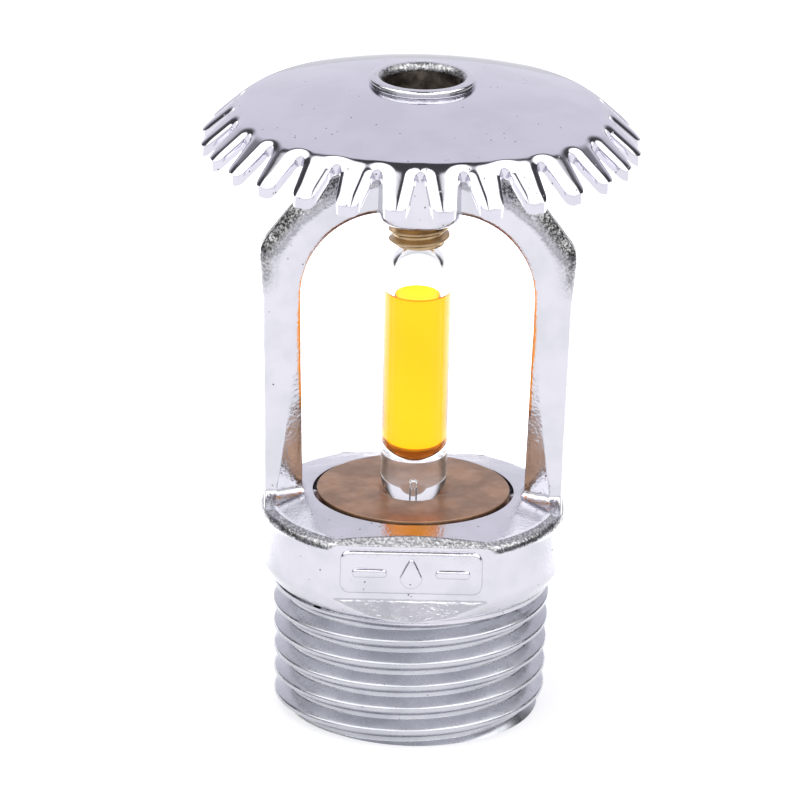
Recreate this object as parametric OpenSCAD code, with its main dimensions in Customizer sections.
// Upright glass-bulb fire sprinkler head, standing on its threaded inlet.
// Millimetres, +Z up, origin at the centre of the inlet end face.
// The flats of the wrench boss face -Y (front, with the raised pad) and +Y.
// The two frame arms stand on the X axis.

/* [Inlet thread] */
// Outside diameter of the tapered pipe thread where it starts, at the inlet end
thread_start_d = 20.3; // [18:0.1:24]
// Distance between neighbouring thread crests
thread_pitch = 1.814; // [1.4:0.002:2.2]
// Height of the threaded length above the inlet end
thread_len = 9.4; // [7:0.1:14]
// Bore that the water flows through
waterway_d = 12.7; // [8:0.1:13.6]

/* [Wrench boss] */
// Diameter of the round wrench boss
boss_d = 23.1; // [21:0.1:30]
// Distance between the two wrench flats
across_flats = 19.4; // [18.6:0.1:20.8]
// Height of the boss from its lower round edge to its top face, at the recess
boss_h = 7.05; // [6:0.05:10]

/* [Frame arms] */
// Clear height from the boss top to the start of the arch
arm_straight_h = 15.75; // [10:0.05:26]
// Distance between the two arms at the start of the arch
window_w = 17.4; // [15:0.1:20]
// Thickness of an arm, measured sideways
arm_t = 2.85; // [2.2:0.05:3.4]
// Depth of an arm, front to back
arm_depth = 3.0; // [2.2:0.1:5]

/* [Load train] */
// Diameter of the glass bulb
bulb_d = 5.0; // [3:0.1:5.6]
// Diameter of the liquid-filled bore inside the bulb
bulb_bore_d = 3.5; // [1.4:0.1:3.8]
// Height of the liquid column in the bulb
liquid_h = 13.1; // [8:0.1:14]
// Diameter of the round seat cap under the bulb
cap_d = 14.5; // [12:0.1:14.6]
// Outside diameter of the load screw
screw_d = 4.6; // [3.6:0.1:5]
// Distance between neighbouring crests of the load screw
screw_pitch = 0.8; // [0.5:0.05:1]
// Length of the load screw
screw_len = 6.9; // [6:0.1:8]

/* [Deflector] */
// Diameter over the tips of the deflector teeth
deflector_d = 33.0; // [28:0.1:44]
// Number of teeth round the edge
teeth = 28; // [16:1:36]
// Thickness of the deflector sheet
sheet_t = 0.85; // [0.5:0.05:1.2]
// Angle that the teeth are bent down below level
tooth_bend = 42; // [20:1:50]

/* [Hidden] */

$fa = 4;
$fs = 0.35;

// fits
film_t = 0.12;
cap_side_gap = 0.3;
screw_gap = 0.05;
nest_gap = 0.02;
fill_gap = 0.02;
spigot_gap = 0.03;

// levels along the axis
boss_low_z = thread_len + 0.5;
boss_top_z = boss_low_z + boss_h;
arch_z = boss_top_z + arm_straight_h;
cap_top_z = boss_top_z + 0.15;

// inlet
taper = 1 / 32;
thread_depth = 0.56 * thread_pitch;
thread_core_r = thread_start_d / 2 - thread_depth;
thread_turns = (thread_len - 0.5) / thread_pitch;
neck_r = thread_start_d / 2 + 0.15;
recess_r = cap_d / 2 + cap_side_gap;
recess_depth = 2.85;
ledge_z = boss_top_z - recess_depth;
entry_r = waterway_d / 2 + 0.9;
seat_w = 0.9;
seat_bore_r = min(waterway_d / 2, cap_d / 2 - seat_w);
lip_h = 1.4;
crown_slope = 0.19;
rim_low_z = boss_top_z - crown_slope * (boss_d / 2 - 0.8 - recess_r);
flat_top_z = boss_top_z - crown_slope * (across_flats / 2 - 0.5 - recess_r);

// arms
arm_lean = 1.28;
arch_in_r = 6.57;
arch_x = window_w / 2 - arch_in_r;
arch_top_z = arch_z + arch_in_r;

// knuckle: the block at the crown of the frame that carries the screw and the deflector
knuckle_r = 3.43;
knuckle_low_z = arch_top_z - 0.75;
land_top_z = arch_top_z + 9.75;
land_low_z = land_top_z - sheet_t;
spigot_r = 3.15;
crown_hole_r = 2.95;
tap_top_z = knuckle_low_z + 5.6;
rim_r = 3.97;
rim_h = 0.65;

// deflector
land_r = 4.3;
dome_r = 45;
root_r = deflector_d / 2 - 2.55;
bend_r = root_r - 0.45;
slot_root_w = 1.0;
slot_mouth_w = 2.1;

// load train
screw_r = screw_d / 2;
screw_low_z = knuckle_low_z - 1.95;
bulb_r = bulb_d / 2;
bulb_top_z = screw_low_z + 0.4;
bulb_low_z = cap_top_z - 1.3;
bore_low_z = bulb_low_z + 3.8;
bore_top_z = bulb_top_z - 0.8;
bore_r = bulb_bore_d / 2;
spring_t = 0.45;
spring_rise = 0.75;
spring_low_z = ledge_z + film_t;
spring_in_r = 3.3;
spring_out_r = recess_r - 0.25;
film_in_r = seat_bore_r + 0.3;

// Height that the spring cone gains from its outer edge in to radius r.
function spring_lift(r) = spring_rise * (spring_out_r - r) / (spring_out_r - spring_in_r);

// Height of the domed sheet at radius r, measured down from its flat centre.
function dome_drop(r) = (r * r - land_r * land_r) / (2 * dome_r);

// A trapezoid ridge wound up a cone: start radius, end radius, pitch, turns and section sizes.
module helix_ridge(r0, r1, pitch, turns, base_w, crest_w, depth, steps) {
    total = ceil(turns * steps);
    section = [[-0.2, -base_w / 2], [depth, -crest_w / 2], [depth, crest_w / 2], [-0.2, base_w / 2]];
    points = [for (i = [0:total], s = section)
        let (a = 360 * i / steps, r = r0 + (r1 - r0) * i / total + s[0])
        [r * cos(a), r * sin(a), pitch * i / steps + s[1]]];
    sides = [for (i = [0:total - 1], k = [0:3])
        let (p = 4 * i + k, q = 4 * i + (k + 1) % 4)
        each [[p, q, q + 4], [p, q + 4, p + 4]]];
    caps = [[3, 2, 1, 0], [for (k = [0:3]) 4 * total + k]];
    polyhedron(points, concat(sides, caps), convexity = 12);
}

// Tapered external pipe thread with a plain lead at the inlet end.
module inlet_thread() {
    union() {
        cylinder(h = thread_len + 0.6, r1 = thread_core_r, r2 = thread_core_r + taper * thread_len);
        intersection() {
            translate([0, 0, -thread_pitch / 2])
                helix_ridge(thread_core_r, thread_core_r + taper * thread_len, thread_pitch,
                            thread_turns + 0.5, 0.82 * thread_pitch, 0.16 * thread_pitch,
                            thread_depth, 30);
            rotate_extrude()
                polygon([[0, 0], [thread_start_d / 2 - 0.45, 0], [thread_start_d / 2 + 0.1, 0.55],
                         [thread_start_d / 2 + 0.8, thread_len + 0.4], [0, thread_len + 0.4]]);
        }
    }
}

// Round boss with a slightly crowned top, a rounded top edge and a sloping underside.
module boss_round() {
    r = boss_d / 2;
    rotate_extrude()
        polygon([[0, thread_len - 0.2], [neck_r - 0.3, thread_len - 0.2], [neck_r, boss_low_z - 0.1],
                 [neck_r + 0.35, boss_low_z + 0.45], [r, boss_low_z + 1.9],
                 [r, rim_low_z - 0.6], [r - 0.25, rim_low_z - 0.2], [r - 0.8, rim_low_z],
                 [recess_r - 0.5, boss_top_z + 0.5 * crown_slope], [0, boss_top_z + 0.5 * crown_slope]]);
}

// Material taken off one side of the boss to leave a wrench flat.
module flat_cut() {
    y = across_flats / 2;
    far = boss_d;
    rotate([90, 0, 90])
        translate([0, 0, -boss_d])
            linear_extrude(2 * boss_d)
                polygon([[y - 0.5, boss_top_z + 0.1], [y - 0.5, flat_top_z], [y, flat_top_z - 0.5],
                         [y, boss_low_z + 1.95], [y + 0.3, boss_low_z + 1.8],
                         [y + 0.75, boss_low_z + 0.4], [far, boss_low_z + 0.4],
                         [far, boss_top_z + 0.1]]);
}

// Raised rounded pad on the front flat, carrying a plain water-drop mark between two bars.
module front_pad() {
    pad_w = 10.6;
    pad_h = 3.4;
    corner = 0.9;
    proud = 0.3;
    mark = 0.2;
    mid_z = (boss_low_z + 1.95 + flat_top_z - 0.5) / 2;
    translate([0, 0.1 - across_flats / 2, mid_z])
        rotate([90, 0, 0]) {
            linear_extrude(proud + 0.1) {
                square([pad_w - 2 * corner, pad_h], center = true);
                square([pad_w, pad_h - 2 * corner], center = true);
                for (x = [-1, 1], y = [-1, 1])
                    translate([x * (pad_w / 2 - corner), y * (pad_h / 2 - corner)]) circle(corner);
            }
            linear_extrude(proud + mark + 0.1) {
                translate([0, -0.35]) circle(0.8);
                polygon([[-0.72, 0], [0.72, 0], [0, 1.3]]);
                for (x = [-3.1, 3.1]) translate([x, 0]) square([2.6, 0.6], center = true);
            }
        }
}

// Section of an arm: x is the distance out from its inner edge, y runs front to back.
module arm_section() {
    d = arm_depth / 2;
    nose = 0.36 * d;
    translate([arch_in_r, 0])
        polygon([[0, -nose], [0.4 * arm_t, -d], [arm_t - 0.35, -d], [arm_t, 0.4 - d],
                 [arm_t, d - 0.4], [arm_t - 0.35, d], [0.4 * arm_t, d], [0, nose]]);
}

// One arm: a straight leg that leans out a little, then a quarter-round arch into the knuckle.
module arm() {
    translate([arch_x, 0, arch_z])
        rotate([0, arm_lean, 0]) {
            translate([0, 0, -arm_straight_h - 1.4])
                linear_extrude(arm_straight_h + 1.4) arm_section();
            rotate([90, 0, 0])
                rotate_extrude(angle = 90 + arm_lean) arm_section();
        }
    outer_x = arch_x + arch_in_r + arm_t;
    rotate([90, 0, 0])
        translate([0, 0, 0.25 - arm_depth / 2])
            linear_extrude(arm_depth - 0.5)
                polygon([[outer_x - 0.6, arch_z - 1], [outer_x - 0.05, arch_z], [outer_x + 0.15, arch_z + 3.2],
                         [outer_x - 0.15, arch_z + 3.9], [outer_x - 2.3, arch_z + 7],
                         [knuckle_r, arch_z + 10.4], [knuckle_r - 0.5, arch_z + 7],
                         [outer_x - 5, arch_z + 6.6], [outer_x - 1.6, arch_z + 3]]);
}

// Knuckle with the spigot that is spread over the deflector.
module knuckle() {
    rotate_extrude()
        polygon([[0, knuckle_low_z], [knuckle_r - 0.75, knuckle_low_z], [knuckle_r - 0.2, knuckle_low_z + 0.25],
                 [knuckle_r, knuckle_low_z + 0.8], [knuckle_r, arch_z + 11], [knuckle_r + 0.75, land_low_z],
                 [spigot_r, land_low_z], [spigot_r, land_top_z], [rim_r - 0.1, land_top_z],
                 [rim_r, land_top_z + 0.2], [rim_r - 0.2, land_top_z + rim_h - 0.12],
                 [rim_r - 0.5, land_top_z + rim_h], [0, land_top_z + rim_h]]);
}

// Bore of the waterway, drawn in under the ledge where the seat cap is narrower than the bore.
module waterway_cut() {
    r = waterway_d / 2;
    step = r - seat_bore_r;
    lip_z = ledge_z - lip_h;
    rotate_extrude()
        polygon(concat([[0, -1], [r, -1]],
                       step > 0 ? [[r, lip_z - step], [seat_bore_r, lip_z]] : [],
                       [[seat_bore_r, boss_top_z + 1], [0, boss_top_z + 1]]));
}

// Frame: threaded inlet, wrench boss, two arms and knuckle, cast in one piece.
module frame() {
    color([0.80, 0.81, 0.84])
        difference() {
            union() {
                inlet_thread();
                difference() {
                    boss_round();
                    for (side = [0, 180]) rotate([0, 0, side]) flat_cut();
                }
                front_pad();
                arm();
                mirror([1, 0, 0]) arm();
                knuckle();
            }
            waterway_cut();
            translate([0, 0, -0.01]) cylinder(h = 1.3, r1 = entry_r, r2 = waterway_d / 2 - 0.1);
            translate([0, 0, ledge_z]) cylinder(h = recess_depth + 1, r = recess_r);
            translate([0, 0, knuckle_low_z - 1]) cylinder(h = 12, r = screw_r + screw_gap);
            translate([0, 0, tap_top_z]) cylinder(h = 12, r = crown_hole_r);
            translate([0, 0, land_top_z + rim_h - 0.3])
                cylinder(h = 0.31, r1 = crown_hole_r - 0.01, r2 = crown_hole_r + 0.3);
        }
}

// One slot between two deflector teeth, seen from above.
module slot_plan() {
    mid = root_r + slot_root_w / 2;
    tip = deflector_d / 2;
    translate([mid, 0]) circle(d = slot_root_w);
    polygon([[mid, -slot_root_w / 2], [tip - 0.45, -slot_mouth_w / 2 + 0.05], [tip + 0.2, -slot_mouth_w / 2 - 0.4],
             [tip + 0.2, slot_mouth_w / 2 + 0.4], [tip - 0.45, slot_mouth_w / 2 - 0.05],
             [mid, slot_root_w / 2]]);
}

// Deflector: a domed sheet with a flat centre and a ring of teeth bent down.
module deflector() {
    steps = 12;
    tip = deflector_d / 2;
    lean = [sin(tooth_bend), cos(tooth_bend)];
    reach = (tip - bend_r) - sheet_t * 0.3;
    top = [for (i = [0:steps]) let (r = land_r + (bend_r - land_r) * i / steps)
        [r, land_top_z - dome_drop(r)]];
    edge_z = land_top_z - dome_drop(bend_r);
    tip_top = [bend_r + reach, edge_z - reach * tan(tooth_bend)];
    under = [for (i = [steps:-1:0]) let (r = land_r + (bend_r - land_r) * i / steps)
        [r - 0.3 * sheet_t * i / steps, land_top_z - dome_drop(r) - 0.97 * sheet_t]];
    color([0.76, 0.77, 0.81])
        difference() {
            rotate_extrude()
                polygon(concat([[spigot_r + spigot_gap, land_low_z], [spigot_r + spigot_gap, land_top_z]], top,
                               [tip_top, tip_top + 0.2 * sheet_t * [1, -1.2],
                                tip_top - 0.9 * sheet_t * lean],
                               under, [[land_r - 0.3, land_low_z]]));
            for (i = [0:teeth - 1])
                rotate([0, 0, 270 + 360 * i / teeth])
                    translate([0, 0, land_top_z - 12]) linear_extrude(14) slot_plan();
        }
}

// Load screw: threaded, with a cup at its lower end for the bulb and a socket on top.
module load_screw() {
    depth = 0.4 * screw_pitch;
    core = screw_r - depth;
    turns = floor((screw_len - 0.7) / screw_pitch);
    cup_r = 1.62;
    color([0.72, 0.60, 0.38])
        difference() {
            union() {
                translate([0, 0, screw_low_z + 0.25]) cylinder(h = screw_len - 0.25, r = core);
                translate([0, 0, screw_low_z]) cylinder(h = 0.26, r1 = core - 0.2, r2 = core);
                translate([0, 0, screw_low_z + 0.45])
                    helix_ridge(core, core, screw_pitch, turns, 0.82 * screw_pitch,
                                0.2 * screw_pitch, depth, 20);
            }
            translate([0, 0, screw_low_z - 0.01]) cylinder(h = 0.9, r1 = cup_r, r2 = 0.5);
            translate([0, 0, screw_low_z + screw_len - 1.8])
                linear_extrude(2) circle(d = 2.3, $fn = 6);
        }
}

// Half outline of a round-ended rod: radius, level of the lower end, level of the upper end.
function rod_half(r, low, high) = concat(
    [for (a = [-90:6:0]) [max(0, r * cos(a)), low + r + r * sin(a)]],
    [for (a = [0:6:90]) [max(0, r * cos(a)), high - r + r * sin(a)]]);

// Half outline of the bore in the bulb: drawn to a point below, round on top.
function bore_half(r, low, high) = concat(
    [[0, low], [0.3 * r, low + 0.07 * r], [0.62 * r, low + 0.38 * r], [0.86 * r, low + 0.72 * r],
     [0.97 * r, low + r], [r, low + 1.3 * r]],
    [for (a = [0:6:90]) [max(0, r * cos(a)), high - r + r * sin(a)]]);

// Sealed glass bulb with round ends and a solid lower end.
module glass_bulb() {
    color([0.93, 0.96, 0.98, 0.35])
        rotate_extrude() {
            difference() {
                polygon(rod_half(bulb_r, bulb_low_z, bulb_top_z));
                polygon(bore_half(bore_r, bore_low_z, bore_top_z));
            }
        }
}

// Coloured liquid that fills the bulb but for the vapour space on top.
module bulb_liquid() {
    r = bore_r - fill_gap;
    low = bore_low_z + fill_gap;
    color([1.0, 0.80, 0.10])
        rotate_extrude()
            polygon([[0, low], [0.3 * r, low + 0.07 * r], [0.62 * r, low + 0.38 * r],
                     [0.86 * r, low + 0.72 * r], [0.97 * r, low + r], [r, low + 1.3 * r],
                     [r, low + liquid_h], [0.9 * r, low + liquid_h - 0.15],
                     [0.5 * r, low + liquid_h - 0.22], [0, low + liquid_h - 0.25]]);
}

// Seat cap: the round brass plate with a dish for the bulb and a hub through the spring.
module seat_cap() {
    r = cap_d / 2;
    hub_r = spring_in_r - 0.2;
    step_r = spring_in_r + 0.9;
    press_z = spring_low_z + spring_t + spring_rise;
    nest_r = bulb_r + nest_gap;
    nest = [for (a = [0:5:40]) [nest_r * sin(a), bulb_low_z + bulb_r - nest_r * cos(a)]];
    color([0.66, 0.53, 0.40])
        rotate_extrude()
            polygon(concat(nest, [[bulb_r + 0.2, cap_top_z - 0.03],
                     [r - 0.12, cap_top_z], [r, cap_top_z - 0.12], [r, cap_top_z - 0.85],
                     [step_r, cap_top_z - 1.0], [step_r, press_z + 0.12], [hub_r, press_z],
                     [hub_r, ledge_z + 0.45], [hub_r - 0.35, ledge_z + 0.1], [0, ledge_z + 0.1]]));
}

// Disc spring: a thin cone washer that holds the seal down and the bulb in compression.
module disc_spring() {
    color([0.70, 0.71, 0.72])
        rotate_extrude()
            polygon([[spring_out_r, spring_low_z], [spring_out_r, spring_low_z + spring_t],
                     [spring_in_r, spring_low_z + spring_t + spring_rise],
                     [spring_in_r, spring_low_z + spring_rise]]);
}

// Upper seal film: the plastic skin bonded on top of the outer part of the spring.
module upper_seal_film() {
    low = spring_low_z + spring_t;
    color([0.88, 0.93, 0.95])
        rotate_extrude()
            polygon([[film_in_r, low + spring_lift(film_in_r)], [spring_out_r, low],
                     [spring_out_r, low + film_t], [film_in_r, low + film_t + spring_lift(film_in_r)]]);
}

// Lower seal film: the flat plastic ring between the spring and the ledge of the inlet.
module lower_seal_film() {
    color([0.88, 0.93, 0.95])
        translate([0, 0, ledge_z])
            difference() {
                cylinder(h = film_t, r = spring_out_r);
                translate([0, 0, -1]) cylinder(h = film_t + 2, r = film_in_r);
            }
}

frame();
deflector();
load_screw();
glass_bulb();
bulb_liquid();
seat_cap();
disc_spring();
upper_seal_film();
lower_seal_film();
